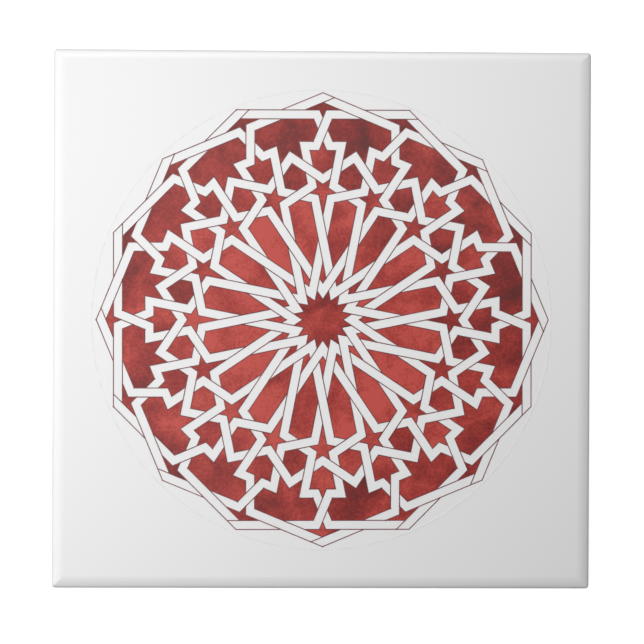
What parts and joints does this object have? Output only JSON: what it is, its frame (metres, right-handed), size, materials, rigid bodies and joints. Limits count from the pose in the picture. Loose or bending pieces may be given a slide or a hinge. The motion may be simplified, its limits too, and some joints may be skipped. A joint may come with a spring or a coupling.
{
  "type": "ceramic wall tile",
  "caption": "Square glazed ceramic tile with cushioned edges, a keyed back and an interlaced star rosette printed in red and maroon on white.",
  "frame": {"origin": "middle of the tile's back, on the plane of the keying ribs", "axes": "+Z out of the glazed face, +Y towards the top of the printed rosette, +X to its right"},
  "size_m": [0.108, 0.108, 0.006],
  "materials": {
    "glazed_tile": "gloss"
  },
  "bodies": {
    "root": {"tile": "glazed_tile"}
  },
  "joints": []
}
